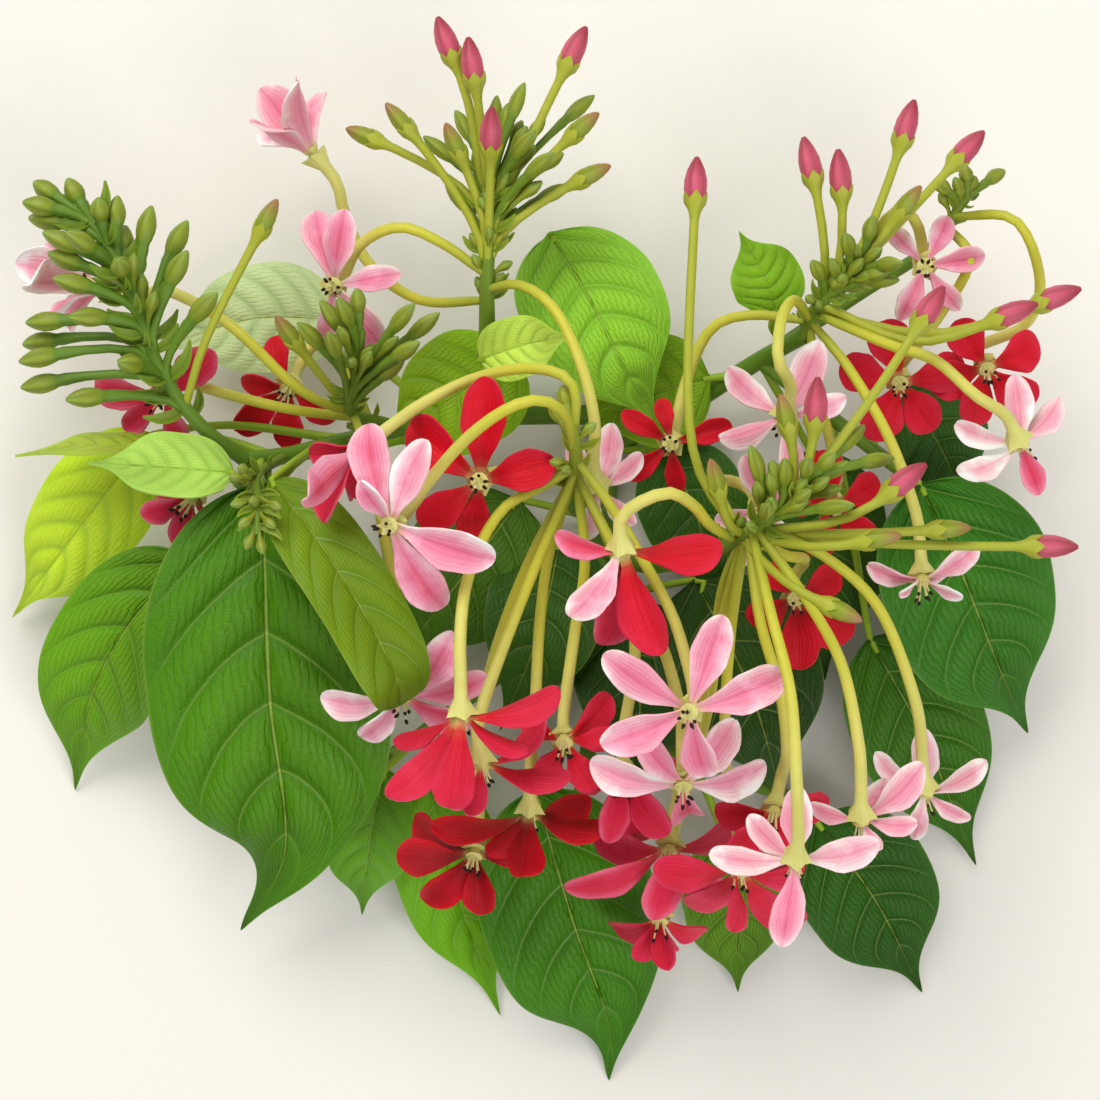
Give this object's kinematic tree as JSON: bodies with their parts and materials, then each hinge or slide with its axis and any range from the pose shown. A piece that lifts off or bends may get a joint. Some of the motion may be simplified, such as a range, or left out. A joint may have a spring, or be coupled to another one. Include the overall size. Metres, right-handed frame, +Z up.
{
  "type": "rangoon creeper",
  "caption": "Cut flowering spray of rangoon creeper, laid down: leafy vine with bud spikes, long arching floral tubes and star-shaped blooms from deep red to pale pink.",
  "frame": {"origin": "middle of the spray's bounding box, on the surface that it lies on", "axes": "+Z up from the surface; +Y toward the top of the picture, where the bud spikes point; +X to the picture's right"},
  "size_m": [0.2233, 0.2224, 0.0958],
  "materials": {
    "vine": "matt green bark",
    "spike": "soft yellow-green skin",
    "leaf": "satin dark green leaf",
    "light_leaf": "satin young yellow-green leaf",
    "pale_leaf": "matt pale green leaf",
    "red": "velvety deep red petal",
    "dark_red": "velvety dark red petal",
    "pink": "velvety pink petal",
    "pale_pink": "velvety petal, nearly white"
  },
  "bodies": {
    "root": {"vine": "vine", "leaf_front_large": "leaf", "leaf_front_curled": "light_leaf", "leaf_left_small": "leaf", "leaf_left_light": "light_leaf", "leaf_left_low": "leaf", "leaf_left_edge": "light_leaf", "leaf_bottom_left": "leaf", "leaf_bottom_bright": "light_leaf", "leaf_bottom_large": "leaf", "leaf_bottom_right": "leaf", "leaf_right_low": "leaf", "leaf_right_middle": "leaf", "leaf_right_large": "leaf", "leaf_top_round": "leaf", "leaf_top_pointed": "leaf", "leaf_top_middle": "light_leaf", "leaf_top_pale": "pale_leaf", "spike_left": "spike", "spike_inner_left": "spike", "spike_top": "spike", "spike_top_right": "spike", "spike_right": "spike", "spike_middle": "spike", "spike_back_right": "spike", "spike_young": "spike", "bloom_front_pink": "pink", "bloom_front_pink_low": "pink", "bloom_centre": "red", "bloom_upper_red": "red", "bloom_left_pink": "pink", "bloom_far_left_pink": "pink", "bloom_lower_red": "red", "bloom_lower_red_second": "red", "bloom_dark_cluster": "dark_red", "bloom_yellow_throat": "red", "bloom_bottom_red": "red", "bloom_lowest_red": "dark_red", "bloom_droplet_red": "red", "bloom_right_white": "pale_pink", "bloom_right_hidden_red": "red", "bloom_right_pink": "pale_pink", "bloom_far_right_pale": "pale_pink", "bloom_right_shelf": "pale_pink", "bloom_right_fan": "pale_pink", "bloom_upper_right_pink": "pink", "bloom_middle_red": "red", "bloom_middle_pale": "pale_pink", "bloom_upper_left_pink": "pink", "bloom_top_left_half_open": "pink", "bloom_back_left_red": "red", "bloom_far_left_pale": "pale_pink", "bloom_left_behind": "red", "bloom_under_leaf": "red", "bloom_behind_curl": "pink", "bloom_back_right_red": "red", "bloom_top_right_pink": "pink", "bloom_behind_right_spike": "pale_pink", "bloom_behind_right_red": "red", "bloom_right_dark": "dark_red"}
  },
  "joints": []
}
